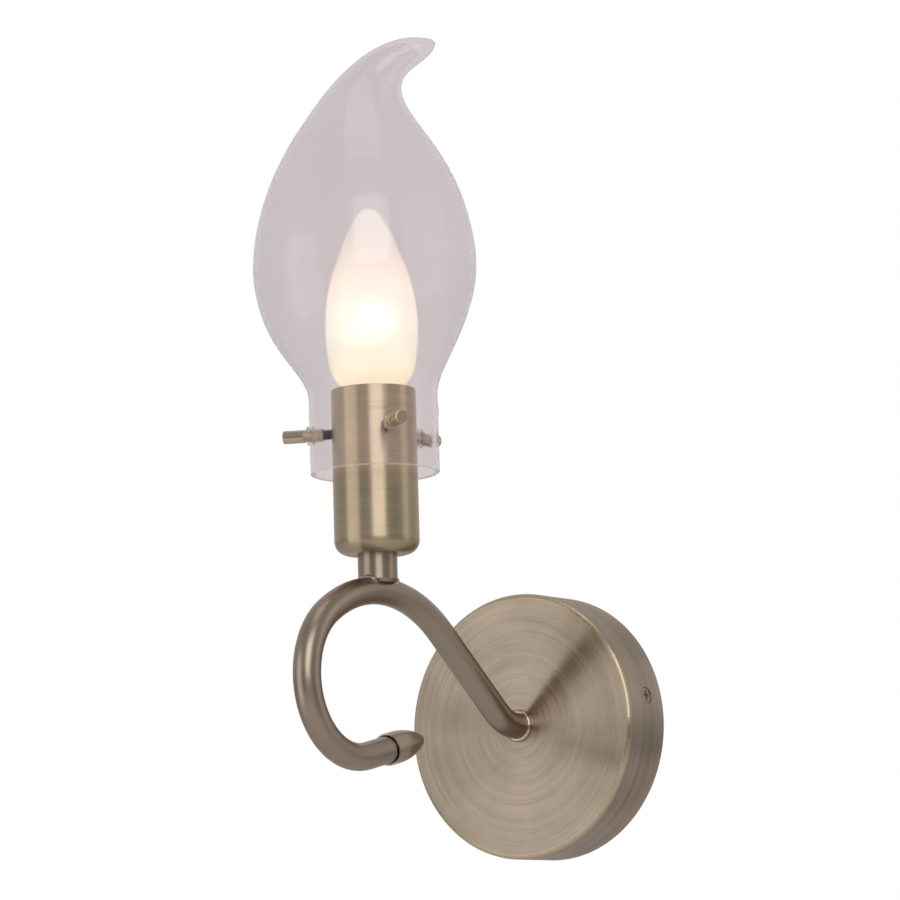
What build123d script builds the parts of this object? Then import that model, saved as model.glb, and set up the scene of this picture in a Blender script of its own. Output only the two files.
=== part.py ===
from build123d import *
from math import acos, asin, copysign, cos, degrees, radians, sin, sqrt
import os

# Wall sconce: a glass flame over a candle lamp, on a scrolled arm that stands out from a round canopy.
# Sizes are in millimetres and degrees. The wall is the plane y = 0, the light stands out along -Y, +Z is up.

# Clearances, on each side
fit_gap = 0.05
loose_gap = 0.2

# Canopy, the round cover against the wall
canopy_radius = 50.4
canopy_depth = 23.4
canopy_wall = 1.2
canopy_edge = 1.8

# Bracket: a strip screwed to the wall, with an ear at each end that the canopy is fixed to
strip_angle = 10.0
strip_width = 16.0
strip_thickness = 1.5
strip_corner_gap = 0.5
ear_thickness = 2.0
ear_height = 15.0
wall_hole_circle = 70.0
wall_hole_radius = 2.25
cable_hole_radius = 5.0

# Canopy screws, with their heads in the canopy's side
canopy_screw_height = 10.0
canopy_screw_radius = 1.95
canopy_screw_reach = 4.0
canopy_head_radius = 3.0
canopy_head_sink = 0.3
cross_length = 3.4
cross_width = 0.8
cross_depth = 0.9

# Terminal block on the bracket
block_length = 17.0
block_width = 15.0
block_height = 11.0
block_centre = -21.5
block_corner = 1.0
pole_spacing = 8.4
terminal_height = 5.0
insert_radius = 2.0
insert_bore = 1.5
insert_recess = 1.0
terminal_screw_radius = 1.3
terminal_screw_spacing = 8.0
terminal_screw_sink = 0.6
slot_width = 0.6
slot_depth = 0.7
block_screw_radius = 1.25
block_head_radius = 2.3
block_head_depth = 1.6
block_head_sink = 0.8

# Earth bond from the arm to the bracket
earth_screw_place = 15.0
earth_screw_radius = 1.95
earth_head_radius = 3.5
earth_head_height = 2.4
tag_thickness = 0.8
tag_rim = 2.4
tag_tab_width = 3.0
tag_tab_length = 3.0
barrel_length = 5.0
barrel_wall = 0.55
earth_turn_place = 32.0
earth_turn_radius = 7.5

# Arm tube and what clamps its root in the canopy
tube_radius = 5.0
tube_wall = 1.0
ferrule_radius = 6.2
ferrule_thickness = 1.6
ferrule_edge = 1.0
lock_washer_rim = 2.4
lock_washer_thickness = 1.0
arm_nut_flats = 14.0
arm_nut_thickness = 4.0
thread_end = 2.3
lift_radius = 20.0
lift_angle = 39.0
rise_length = 44.2
crown_radius = 57.0
crown_past = 34.0
scroll_radius = 27.8
tail_tilt = 12.5
tail_length = 15.0

# Finial on the arm's tail
finial_radius = 5.9
finial_lip = 0.5
finial_skirt = 3.2
finial_barrel = 1.5
finial_length = 17.0
finial_tip_radius = 2.2
finial_tip_round = 0.9
finial_spigot = 6.0

# Collar brazed on the crown, and the hollow stud that the cup is clamped with
cup_past_crown = 1.6
collar_radius = 7.2
collar_rise = 8.2
collar_lap = 2.3
collar_chamfer = 1.2
wireway_radius = 3.6
nipple_radius = 5.0
nipple_sink = 6.0
nipple_grip = 6.5

# Candle cup
cup_radius = 15.5
cup_height = 60.2
cup_wall = 1.0
cup_edge = 5.0
cup_washer_radius = 9.5
cup_washer_thickness = 0.8
cup_nut_flats = 14.0
cup_nut_thickness = 3.5

# Thumb screws that carry the shade, 120 degrees apart, and their bushes and sleeves
flame_angle = 22.0
screw_past_flame = 182.0
screw_count = 3
screw_rise = 45.0
thread_radius = 1.95
thread_root = 1.6
thread_pitch = 0.7
bush_radius = 3.5
bush_length = 2.3
knob_radius = 2.4
knob_length = 7.9
knob_edge = 0.4
sleeve_wall = 0.45
sleeve_flange_radius = 3.5
sleeve_flange_thickness = 1.2
sleeve_outside = 2.7
sleeve_cup_gap = 3.6

# Glass shade. Each section is (lean across, share of the flame's height above the neck, radius, tilt)
glass_wall = 1.8
glass_rim = 0.7
neck_radius = 23.5
neck_length = 20.0
belly_radius = 41.0
flame_height = 140.4
hole_above_rim = 15.5
flame_sections = [
    (0.0, 0.0, neck_radius, 0.0),
    (0.0, 0.043, neck_radius, 0.0),
    (-0.4, 0.089, 24.3, 0.0),
    (-1.2, 0.139, 27.8, 0.0),
    (-2.2, 0.21, 33.6, 0.0),
    (-2.3, 0.296, 38.6, 0.0),
    (-2.0, 0.395, belly_radius, 0.0),
    (-1.9, 0.502, 39.6, 0.0),
    (-2.1, 0.694, 29.8, 0.0),
    (-2.1, 0.818, 18.7, 1.0),
    (1.8, 0.899, 11.8, 12.0),
    (9.1, 0.952, 8.1, 31.0),
    (22.5, 0.9915, 4.2, 43.0),
    (26.3, 1.0, 0.9, 44.0),
]
hollow_count = 12
hollow_end = (18.6, 0.982, 3.0, 41.0)

# Lampholder
holder_gap = 1.2
holder_wall = 1.6
base_headroom = 3.0
holder_terminal_spacing = 9.0
holder_terminal_width = 4.0
holder_terminal_height = 6.0
disc_thickness = 3.0
tongue_rise = 2.0
tongue_width = 4.0
tongue_length = 9.0
tongue_thickness = 0.5
shell_wall = 0.5
shell_flange = 0.6
shell_depth = 15.0
lip_height = 1.2

# Candle lamp with a small screw cap. Its outline is in shares of its radius and of its height above the cap
lamp_radius = 17.0
lamp_length = 99.1
lamp_neck_radius = 8.0
lamp_wall = 0.9
bulb_outline = [(0.8, 0.134), (0.975, 0.285), (1.0, 0.411), (0.8, 0.688), (0.46, 0.889)]
bulb_tip_radius = 5.5
bulb_tip_angle = 60.0
cap_height = 25.0
cap_crest = 6.92
cap_root = 6.4
cap_bore = 5.6
cap_pitch = 2.82
cap_turn_count = 4
cap_bottom = 5.0
cap_wall = 0.4
skirt_height = 5.0
tip_radius = 2.4
tip_height = 1.3
tip_pin_radius = 0.9
tip_pin_length = 2.0
insulator_radius = 4.3
insulator_lap = 1.5
stem_radius = 2.4
stem_height = 39.0
stem_foot_height = 3.0
lead_radius = 0.4
lead_spread = 6.0
lead_bend = 4.0
filament_height = 53.0

# Wires inside the arm
wire_radius = 1.1
wire_spacing = 2.7
wire_turn_radius = 6.0
wire_flare_radius = 4.0
wire_corner_radius = 5.5
wire_lead_radius = 8.0
wire_lead = 2.5
wire_depth = 4.0

# Planes: side has x away from the wall and y up, strip lies along the bracket, along stands square to it
side = Plane((0, 0, 0), x_dir=(0, -1, 0), z_dir=(-1, 0, 0))
strip = Plane((0, 0, 0), x_dir=(cos(radians(strip_angle)), 0, sin(radians(strip_angle))), z_dir=(0, -1, 0))
along = Plane((0, 0, 0), x_dir=strip.y_dir, z_dir=strip.x_dir)


def polar(length, angle):
    """A step of that length at that angle from the x axis."""
    return Vector(length * cos(radians(angle)), length * sin(radians(angle)))


def route_step(point, heading, size, turn):
    """End and heading of a straight run of length size, or of a bend of radius size through an angle."""
    if turn == 0:
        return point + polar(size, heading), heading
    inward = heading + copysign(90, turn)
    return point + polar(size, inward) - polar(size, inward + turn), heading + turn


def route_end(point, heading, steps):
    """Last point and heading of a route of runs and bends."""
    for size, turn in steps:
        point, heading = route_step(point, heading, size, turn)
    return point, heading


def draw_route(point, heading, steps):
    """Draw the runs and bends of a route, head to tail, on the plane in use."""
    for size, turn in steps:
        ahead, new_heading = route_step(point, heading, size, turn)
        if turn == 0:
            Line((point.X, point.Y), (ahead.X, ahead.Y))
        else:
            inward = heading + copysign(90, turn)
            centre = point + polar(size, inward)
            CenterArc((centre.X, centre.Y), size, inward + 180, turn)
        point, heading = ahead, new_heading


def start_plane(path):
    """Plane square to the start of a path."""
    return Plane(path @ 0, z_dir=path % 0)


# Places on the arm, as distance from the wall and height
canopy_inside = canopy_depth - canopy_wall
arm_stack = tag_thickness + lock_washer_thickness + arm_nut_thickness
arm_end = canopy_inside - arm_stack - thread_end
root_length = canopy_depth + ferrule_thickness - arm_end
steps_to_crown = [(root_length, 0), (lift_radius, lift_angle), (rise_length, 0), (crown_radius, -lift_angle)]
scroll_turn = 180 + tail_tilt - crown_past
steps_past_crown = [(crown_radius, -crown_past), (scroll_radius, -scroll_turn), (tail_length, 0)]
arm_root = Vector(arm_end, 0)
crown, crown_heading = route_end(arm_root, 0, steps_to_crown)
tail, tail_heading = route_end(crown, crown_heading, steps_past_crown)
tube_bore = tube_radius - tube_wall

# Heights along the lamp's axis, from the collar up
cup_reach = crown.X + cup_past_crown
cup_base = crown.Y + tube_radius + collar_rise
cup_floor = cup_base + cup_wall
washer_top = cup_floor + cup_washer_thickness
cup_nut_top = washer_top + cup_nut_thickness
nipple_top = cup_nut_top + nipple_grip
holder_base_top = nipple_top + base_headroom
wire_offset = wire_spacing / 2
flare_shift = holder_terminal_spacing / 2 - wire_offset
flare_turn = degrees(acos(1 - flare_shift / (2 * wire_flare_radius)))
terminal_base = nipple_top + 2 * wire_flare_radius * sin(radians(flare_turn)) + fit_gap
disc_base = terminal_base + holder_terminal_height
disc_top = disc_base + disc_thickness
lamp_seat = disc_top + tongue_rise
holder_top = disc_top + shell_depth + lip_height
screw_height = cup_base + screw_rise
shade_rim = screw_height - hole_above_rim

# Radii that fit inside each other, from the cup inwards
cup_inside = cup_radius - cup_wall
bush_inner = cup_inside - bush_length
holder_radius = bush_inner - holder_gap
holder_inside = holder_radius - holder_wall
disc_radius = holder_inside - fit_gap
shell_bore = cap_crest + fit_gap
lamp_axis = Axis((0, -cup_reach, 0), (0, 0, 1))


def level(height):
    """Level plane on the lamp's axis."""
    return Plane((0, -cup_reach, height))


def standing(height):
    """Upright plane on the lamp's axis: x is the radius and y the height above the one given."""
    return Plane((0, -cup_reach, height), x_dir=(1, 0, 0), z_dir=(0, -1, 0))


def screw_plane(number):
    """Plane on the lamp's axis that faces along one thumb screw, with its x axis down."""
    angle = radians(flame_angle + screw_past_flame + 360 / screw_count * number)
    return Plane((0, -cup_reach, screw_height), x_dir=(0, 0, -1), z_dir=(cos(angle), sin(angle), 0))


os.makedirs("parts", exist_ok=True)

# Canopy: a drawn cup, open to the wall
with BuildPart() as canopy:
    with BuildSketch(Plane.XY):
        with BuildLine():
            outer = FilletPolyline(
                (0, -canopy_depth), (canopy_radius, -canopy_depth), (canopy_radius, 0), radius=canopy_edge
            )
            Line(outer @ 1, (canopy_radius - canopy_wall, 0))
            Polyline((canopy_radius - canopy_wall, 0), (canopy_radius - canopy_wall, -canopy_inside),
                     (0, -canopy_inside), outer @ 0)
        make_face()
    revolve(axis=Axis.Y)
    with BuildSketch(Plane.XZ):
        Circle(tube_radius + loose_gap)
    extrude(amount=canopy_depth, mode=Mode.SUBTRACT)
    with BuildSketch(along):
        with Locations((0, canopy_screw_height)):
            Circle(canopy_head_radius + loose_gap)
    extrude(amount=canopy_radius, both=True, mode=Mode.SUBTRACT)
canopy.part.label = "canopy"
export_step(canopy.part, "parts/canopy.step")

# Wall bracket: its ends follow from the canopy's inside
canopy_bore = canopy_radius - canopy_wall
ear_outer = sqrt((canopy_bore - strip_corner_gap) ** 2 - (strip_width / 2) ** 2)
block_screw_hole = block_screw_radius + fit_gap
with BuildPart() as wall_bracket:
    with BuildSketch(strip):
        Rectangle(2 * ear_outer, strip_width)
        Circle(cable_hole_radius, mode=Mode.SUBTRACT)
        with PolarLocations(wall_hole_circle / 2, 2):
            Circle(wall_hole_radius, mode=Mode.SUBTRACT)
        with Locations((block_centre, 0)):
            Circle(block_screw_hole, mode=Mode.SUBTRACT)
        with Locations((earth_screw_place, 0)):
            Circle(earth_screw_radius + fit_gap, mode=Mode.SUBTRACT)
    extrude(amount=strip_thickness)
    with BuildSketch(strip):
        for end in (1, -1):
            with Locations((end * (ear_outer - ear_thickness / 2), 0)):
                Rectangle(ear_thickness, strip_width)
    extrude(amount=ear_height)
    with BuildSketch(along):
        with Locations((0, canopy_screw_height)):
            Circle(canopy_screw_radius + fit_gap)
    extrude(amount=ear_outer, both=True, mode=Mode.SUBTRACT)
wall_bracket.part.label = "wall_bracket"
export_step(wall_bracket.part, "parts/wall_bracket.step")

# Canopy screws: heads flush in the canopy's side, seated on the ears
head_top = canopy_radius - canopy_head_sink
with BuildPart() as canopy_screws:
    for end in (1, -1):
        with BuildSketch(along.offset(end * ear_outer)):
            with Locations((0, canopy_screw_height)):
                Circle(canopy_head_radius)
        extrude(amount=end * (head_top - ear_outer))
        with BuildSketch(along.offset(end * ear_outer)):
            with Locations((0, canopy_screw_height)):
                Circle(canopy_screw_radius)
        extrude(amount=-end * (ear_thickness + canopy_screw_reach))
        with BuildSketch(along.offset(end * head_top)):
            with Locations((0, canopy_screw_height)):
                Rectangle(cross_length, cross_width)
                Rectangle(cross_width, cross_length)
        extrude(amount=-end * cross_depth, mode=Mode.SUBTRACT)
canopy_screws.part.label = "canopy_screws"
export_step(canopy_screws.part, "parts/canopy_screws.step")

# Terminal block: two poles side by side, each a brass tube with a clamping screw at both ends
block_top = strip_thickness + block_height
block_start = block_centre - block_length / 2
block_head_seat = block_top - block_head_sink - block_head_depth
pole_height = strip_thickness + terminal_height
poles = (pole_spacing / 2, -pole_spacing / 2)
clamps = [
    (block_centre + end * terminal_screw_spacing / 2, pole) for end in (1, -1) for pole in poles
]
with BuildPart() as terminal_block:
    with BuildSketch(strip.offset(strip_thickness)):
        with Locations((block_centre, 0)):
            RectangleRounded(block_length, block_width, block_corner)
    extrude(amount=block_height)
    with BuildSketch(along.offset(block_start)):
        for pole in poles:
            with Locations((pole, pole_height)):
                Circle(insert_radius + fit_gap)
    extrude(amount=block_length, mode=Mode.SUBTRACT)
    with BuildSketch(strip.offset(pole_height)):
        with Locations(*clamps):
            Circle(terminal_screw_radius + fit_gap)
    extrude(amount=block_top - pole_height, mode=Mode.SUBTRACT)
    with BuildSketch(strip.offset(strip_thickness)):
        with Locations((block_centre, 0)):
            Circle(block_screw_hole)
    extrude(amount=block_height, mode=Mode.SUBTRACT)
    with BuildSketch(strip.offset(block_head_seat)):
        with Locations((block_centre, 0)):
            Circle(block_head_radius + loose_gap)
    extrude(amount=block_top - block_head_seat, mode=Mode.SUBTRACT)
terminal_block.part.label = "terminal_block"
export_step(terminal_block.part, "parts/terminal_block.step")

with BuildPart() as terminal_inserts:
    with BuildSketch(along.offset(block_start + insert_recess)):
        for pole in poles:
            with Locations((pole, pole_height)):
                Circle(insert_radius)
                Circle(insert_bore, mode=Mode.SUBTRACT)
    extrude(amount=block_length - 2 * insert_recess)
    with BuildSketch(strip.offset(pole_height)):
        with Locations(*clamps):
            Circle(terminal_screw_radius + fit_gap)
    extrude(amount=2 * insert_radius, mode=Mode.SUBTRACT)
terminal_inserts.part.label = "terminal_inserts"
export_step(terminal_inserts.part, "parts/terminal_inserts.step")

clamp_foot = pole_height + wire_radius + fit_gap
clamp_top = block_top - terminal_screw_sink
with BuildPart() as terminal_screws:
    with BuildSketch(strip.offset(clamp_foot)):
        with Locations(*clamps):
            Circle(terminal_screw_radius)
    extrude(amount=clamp_top - clamp_foot)
    with BuildSketch(strip.offset(clamp_top)):
        with Locations(*clamps):
            Rectangle(3 * terminal_screw_radius, slot_width)
    extrude(amount=-slot_depth, mode=Mode.SUBTRACT)
terminal_screws.part.label = "terminal_screws"
export_step(terminal_screws.part, "parts/terminal_screws.step")

with BuildPart() as block_screw:
    with BuildSketch(strip.offset(block_head_seat)):
        with Locations((block_centre, 0)):
            Circle(block_head_radius)
    extrude(amount=block_head_depth)
    with BuildSketch(strip.offset(fit_gap)):
        with Locations((block_centre, 0)):
            Circle(block_screw_radius)
    extrude(amount=block_head_seat - fit_gap)
    with BuildSketch(strip.offset(block_head_seat + block_head_depth)):
        with Locations((block_centre, 0)):
            Rectangle(3 * block_head_radius, slot_width)
    extrude(amount=-slot_depth, mode=Mode.SUBTRACT)
block_screw.part.label = "block_screw"
export_step(block_screw.part, "parts/block_screw.step")

# Earth tags: a ring with a crimped barrel under the arm's nut, and another under the earth screw
barrel_radius = wire_radius + fit_gap + barrel_wall
arm_tag_hole = tube_radius + loose_gap
earth_tag_hole = earth_screw_radius + loose_gap
arm_barrel_start = arm_tag_hole + tag_rim + tag_tab_length - barrel_length / 2
earth_barrel_start = earth_screw_place + earth_tag_hole + tag_rim + tag_tab_length - barrel_length / 2
arm_barrel_height = canopy_inside - barrel_radius
earth_barrel_height = strip_thickness + barrel_radius
earth_tag_rings = (
    (0, arm_tag_hole, canopy_inside - tag_thickness, arm_barrel_start, arm_barrel_height),
    (earth_screw_place, earth_tag_hole, strip_thickness, earth_barrel_start, earth_barrel_height),
)
with BuildPart() as earth_tags:
    for place, hole, ring_height, barrel_start, barrel_height in earth_tag_rings:
        tab_end = barrel_start + barrel_length
        with BuildSketch(strip.offset(ring_height)):
            with Locations((place, 0)):
                Circle(hole + tag_rim)
            with Locations(((place + tab_end) / 2, 0)):
                Rectangle(tab_end - place, tag_tab_width)
            with Locations((place, 0)):
                Circle(hole, mode=Mode.SUBTRACT)
        extrude(amount=tag_thickness)
        with BuildSketch(along.offset(barrel_start)):
            with Locations((0, barrel_height)):
                Circle(barrel_radius)
        extrude(amount=barrel_length)
        with BuildSketch(along.offset(barrel_start)):
            with Locations((0, barrel_height)):
                Circle(wire_radius + fit_gap)
        extrude(amount=barrel_length, mode=Mode.SUBTRACT)
earth_tags.part.label = "earth_tags"
export_step(earth_tags.part, "parts/earth_tags.step")

earth_head_seat = strip_thickness + tag_thickness
with BuildPart() as earth_screw:
    with BuildSketch(strip.offset(fit_gap)):
        with Locations((earth_screw_place, 0)):
            Circle(earth_screw_radius)
    extrude(amount=earth_head_seat - fit_gap)
    with BuildSketch(strip.offset(earth_head_seat)):
        with Locations((earth_screw_place, 0)):
            Circle(earth_head_radius)
    extrude(amount=earth_head_height)
    with BuildSketch(strip.offset(earth_head_seat + earth_head_height)):
        with Locations((earth_screw_place, 0)):
            Rectangle(cross_length, cross_width)
            Rectangle(cross_width, cross_length)
    extrude(amount=-cross_depth, mode=Mode.SUBTRACT)
earth_screw.part.label = "earth_screw"
export_step(earth_screw.part, "parts/earth_screw.step")

with BuildPart() as earth_wire:
    with BuildLine() as earth_route:
        FilletPolyline(
            strip.from_local_coords(Vector(arm_barrel_start + fit_gap, 0, arm_barrel_height)),
            strip.from_local_coords(Vector(earth_turn_place, 0, arm_barrel_height)),
            strip.from_local_coords(Vector(earth_turn_place, 0, earth_barrel_height)),
            strip.from_local_coords(Vector(earth_barrel_start + fit_gap, 0, earth_barrel_height)),
            radius=earth_turn_radius,
        )
    with BuildSketch(start_plane(earth_route.wires()[0])):
        Circle(wire_radius)
    sweep(path=earth_route.wires()[0])
earth_wire.part.label = "earth_wire"
export_step(earth_wire.part, "parts/earth_wire.step")

# Arm tube: rises from the canopy, crowns under the cup and scrolls back below itself
with BuildLine(side) as arm_route:
    draw_route(arm_root, 0, steps_to_crown)
    draw_route(crown, crown_heading, steps_past_crown)
arm_path = arm_route.wires()[0]
with BuildPart() as arm_tube:
    with BuildSketch(start_plane(arm_path)):
        Circle(tube_radius)
        Circle(tube_bore, mode=Mode.SUBTRACT)
    sweep(path=arm_path)
    with BuildSketch(level(crown.Y)):
        Circle(wireway_radius)
    extrude(amount=tube_radius, mode=Mode.SUBTRACT)
arm_tube.part.label = "arm_tube"
export_step(arm_tube.part, "parts/arm_tube.step")

with BuildPart() as arm_ferrule:
    with BuildSketch(Plane.XZ.offset(canopy_depth)):
        Circle(ferrule_radius)
        Circle(tube_radius + fit_gap, mode=Mode.SUBTRACT)
    extrude(amount=ferrule_thickness)
    fillet(arm_ferrule.edges().group_by(Axis.Y)[0].sort_by(SortBy.LENGTH)[-1], ferrule_edge)
arm_ferrule.part.label = "arm_ferrule"
export_step(arm_ferrule.part, "parts/arm_ferrule.step")

washer_seat = canopy_inside - tag_thickness
with BuildPart() as arm_lock_washer:
    with BuildSketch(Plane.XZ.offset(washer_seat)):
        Circle(tube_radius + loose_gap + lock_washer_rim)
        Circle(tube_radius + loose_gap, mode=Mode.SUBTRACT)
    extrude(amount=-lock_washer_thickness)
arm_lock_washer.part.label = "arm_lock_washer"
export_step(arm_lock_washer.part, "parts/arm_lock_washer.step")

with BuildPart() as arm_nut:
    with BuildSketch(Plane.XZ.offset(washer_seat - lock_washer_thickness)):
        RegularPolygon(arm_nut_flats / 2, 6, major_radius=False)
        Circle(tube_radius + fit_gap, mode=Mode.SUBTRACT)
    extrude(amount=-arm_nut_thickness)
arm_nut.part.label = "arm_nut"
export_step(arm_nut.part, "parts/arm_nut.step")

# Finial: its spigot plugs the tube, and its skirt stands clear of the tube's outside
tail_point = side.from_local_coords(Vector(tail.X, tail.Y, 0))
tail_way = side.from_local_coords(polar(1, tail_heading)) - side.origin
finial_plane = Plane(tail_point, x_dir=tail_way, z_dir=side.z_dir)
with BuildPart() as finial:
    with BuildSketch(finial_plane):
        with BuildLine():
            plug = Polyline(
                (-finial_spigot, 0), (-finial_spigot, tube_bore - fit_gap), (0, tube_bore - fit_gap),
                (0, finial_radius - finial_lip), (-finial_skirt, finial_radius - finial_lip),
                (-finial_skirt, finial_radius), (finial_barrel, finial_radius),
            )
            ogive = TangentArc(
                (finial_barrel, finial_radius), (finial_length, finial_tip_radius), tangent=(1, 0)
            )
            Polyline(ogive @ 1, (finial_length, 0), (-finial_spigot, 0))
        make_face()
    revolve(axis=Axis(tail_point, tail_way))
    fillet(finial.edges().sort_by(Axis(tail_point, tail_way))[-1], finial_tip_round)
finial.part.label = "finial"
export_step(finial.part, "parts/finial.step")

# Stem collar: turned, with a saddle cut to the tube
with BuildPart() as stem_collar:
    with BuildSketch(level(cup_base)):
        Circle(collar_radius)
    extrude(amount=-(collar_rise + collar_lap))
    chamfer(stem_collar.edges().group_by(Axis.Z)[0], collar_chamfer)
    with BuildSketch(start_plane(arm_path)):
        Circle(tube_radius + fit_gap)
    sweep(path=arm_path, mode=Mode.SUBTRACT)
    with BuildSketch(level(cup_base)):
        Circle(wireway_radius)
    extrude(amount=-(collar_rise + collar_lap), mode=Mode.SUBTRACT)
    with BuildSketch(level(cup_base)):
        Circle(nipple_radius + fit_gap)
    extrude(amount=-nipple_sink, mode=Mode.SUBTRACT)
stem_collar.part.label = "stem_collar"
export_step(stem_collar.part, "parts/stem_collar.step")

with BuildPart() as stem_nipple:
    with BuildSketch(level(cup_base - nipple_sink)):
        Circle(nipple_radius)
        Circle(wireway_radius, mode=Mode.SUBTRACT)
    extrude(amount=nipple_top - cup_base + nipple_sink)
stem_nipple.part.label = "stem_nipple"
export_step(stem_nipple.part, "parts/stem_nipple.step")

# Candle cup: spun, with a rounded bottom and a hole for each thumb screw
nipple_hole = nipple_radius + loose_gap
with BuildPart() as candle_cup:
    with BuildSketch(standing(cup_base)):
        with BuildLine():
            FilletPolyline((nipple_hole, 0), (cup_radius, 0), (cup_radius, cup_height), radius=cup_edge)
            Line((cup_radius, cup_height), (cup_inside, cup_height))
            FilletPolyline((cup_inside, cup_height), (cup_inside, cup_wall), (nipple_hole, cup_wall),
                           radius=cup_edge - cup_wall)
            Line((nipple_hole, cup_wall), (nipple_hole, 0))
        make_face()
    revolve(axis=lamp_axis)
    for number in range(screw_count):
        with BuildSketch(screw_plane(number)):
            Circle(thread_radius + fit_gap)
        extrude(amount=cup_radius, mode=Mode.SUBTRACT)
candle_cup.part.label = "candle_cup"
export_step(candle_cup.part, "parts/candle_cup.step")

with BuildPart() as cup_washer:
    with BuildSketch(level(cup_floor)):
        Circle(cup_washer_radius)
        Circle(nipple_hole, mode=Mode.SUBTRACT)
    extrude(amount=cup_washer_thickness)
cup_washer.part.label = "cup_washer"
export_step(cup_washer.part, "parts/cup_washer.step")

with BuildPart() as cup_nut:
    with BuildSketch(level(washer_top)):
        RegularPolygon(cup_nut_flats / 2, 6, major_radius=False)
        Circle(nipple_radius + fit_gap, mode=Mode.SUBTRACT)
    extrude(amount=cup_nut_thickness)
cup_nut.part.label = "cup_nut"
export_step(cup_nut.part, "parts/cup_nut.step")

# Bushes that give the thumb screws their thread, brazed against the cup's inside
with BuildPart() as screw_bushes:
    for number in range(screw_count):
        with BuildSketch(screw_plane(number).offset(bush_inner)):
            Circle(bush_radius)
        extrude(amount=2 * bush_length)
    with BuildSketch(level(screw_height - bush_radius)):
        Circle(cup_inside - fit_gap)
    extrude(amount=2 * bush_radius, mode=Mode.INTERSECT)
    for number in range(screw_count):
        with BuildSketch(screw_plane(number)):
            Circle(thread_radius + fit_gap)
        extrude(amount=cup_radius, mode=Mode.SUBTRACT)
screw_bushes.part.label = "screw_bushes"
export_step(screw_bushes.part, "parts/screw_bushes.step")

# Thumb screws, with a thread as rings, and the clear sleeves that keep them off the glass
sleeve_bore = thread_radius + fit_gap
sleeve_radius = sleeve_bore + sleeve_wall
sleeve_inner = cup_radius + sleeve_cup_gap
sleeve_seat = neck_radius + loose_gap
sleeve_outer = neck_radius + sleeve_outside
thread_turns = int((sleeve_inner - bush_inner) / thread_pitch)
for number in range(screw_count):
    plane = screw_plane(number)
    screw_axis = Axis(plane.origin, plane.z_dir)
    profile_plane = Plane(plane.origin, x_dir=plane.z_dir, z_dir=plane.y_dir)
    thread = [(bush_inner, 0), (bush_inner, thread_root)]
    for turn in range(thread_turns):
        thread.append((bush_inner + (turn + 0.5) * thread_pitch, thread_radius))
        thread.append((bush_inner + (turn + 1) * thread_pitch, thread_root))
    thread.append((bush_inner + (thread_turns + 0.5) * thread_pitch, thread_radius))
    with BuildPart() as shade_screw:
        with BuildSketch(profile_plane):
            with BuildLine():
                Polyline(
                    *thread, (sleeve_outer, thread_radius), (sleeve_outer, knob_radius),
                    (sleeve_outer + knob_length, knob_radius), (sleeve_outer + knob_length, 0),
                    (bush_inner, 0),
                )
            make_face()
        revolve(axis=screw_axis)
        fillet(shade_screw.edges().sort_by(screw_axis)[-1], knob_edge)
    shade_screw.part.label = f"shade_screw_{number + 1}"
    export_step(shade_screw.part, f"parts/shade_screw_{number + 1}.step")

    with BuildPart() as shade_sleeve:
        with BuildSketch(plane.offset(sleeve_inner)):
            Circle(sleeve_radius)
        extrude(amount=sleeve_outer - sleeve_inner - fit_gap)
        with BuildSketch(plane.offset(sleeve_seat)):
            Circle(sleeve_flange_radius)
        extrude(amount=sleeve_flange_thickness)
        with BuildSketch(plane.offset(sleeve_inner)):
            Circle(sleeve_bore)
        extrude(amount=sleeve_outer - sleeve_inner, mode=Mode.SUBTRACT)
    shade_sleeve.part.label = f"shade_sleeve_{number + 1}"
    export_step(shade_sleeve.part, f"parts/shade_sleeve_{number + 1}.step")


def flame_plane(across, share, tilt):
    """Plane of one section of the flame, tilted towards its tip."""
    towards = Vector(cos(radians(flame_angle)), sin(radians(flame_angle)), 0)
    centre = Vector(0, -cup_reach, shade_rim + neck_length + share * flame_height) + towards * across
    upright = Vector(0, 0, cos(radians(tilt))) + towards * sin(radians(tilt))
    return Plane(centre, x_dir=(-towards.Y, towards.X, 0), z_dir=upright)


# Glass shade: a blown flame, hollow up to its drawn tip
with BuildPart() as shade_glass:
    with BuildSketch(level(shade_rim)):
        Circle(neck_radius)
    extrude(amount=neck_length)
    for across, share, radius, tilt in flame_sections:
        with BuildSketch(flame_plane(across, share, tilt)):
            Circle(radius)
    loft()
    for across, share, radius, tilt in flame_sections[:hollow_count]:
        with BuildSketch(flame_plane(across, share, tilt)):
            Circle(radius - glass_wall)
    tip_across, tip_share, hollow_tip_radius, hollow_tip_tilt = hollow_end
    with BuildSketch(flame_plane(tip_across, tip_share, hollow_tip_tilt)):
        Circle(hollow_tip_radius)
    loft(mode=Mode.SUBTRACT)
    with BuildSketch(level(shade_rim)):
        Circle(neck_radius - glass_wall)
    extrude(amount=neck_length, mode=Mode.SUBTRACT)
    fillet(shade_glass.edges().group_by(Axis.Z)[0], glass_rim)
    for number in range(screw_count):
        with BuildSketch(screw_plane(number)):
            Circle(sleeve_radius + loose_gap)
        extrude(amount=2 * neck_radius, mode=Mode.SUBTRACT)
shade_glass.part.label = "shade_glass"
export_step(shade_glass.part, "parts/shade_glass.step")

# Lampholder: a threaded base on the stud, an outer shell, and a disc that carries the live pieces
with BuildPart() as lampholder_base:
    with BuildSketch(level(cup_nut_top)):
        Circle(holder_radius)
        Circle(nipple_radius + fit_gap, mode=Mode.SUBTRACT)
    extrude(amount=holder_base_top - cup_nut_top)
    with BuildSketch(level(nipple_top)):
        Circle(holder_inside)
    extrude(amount=base_headroom, mode=Mode.SUBTRACT)
lampholder_base.part.label = "lampholder_base"
export_step(lampholder_base.part, "parts/lampholder_base.step")

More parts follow.
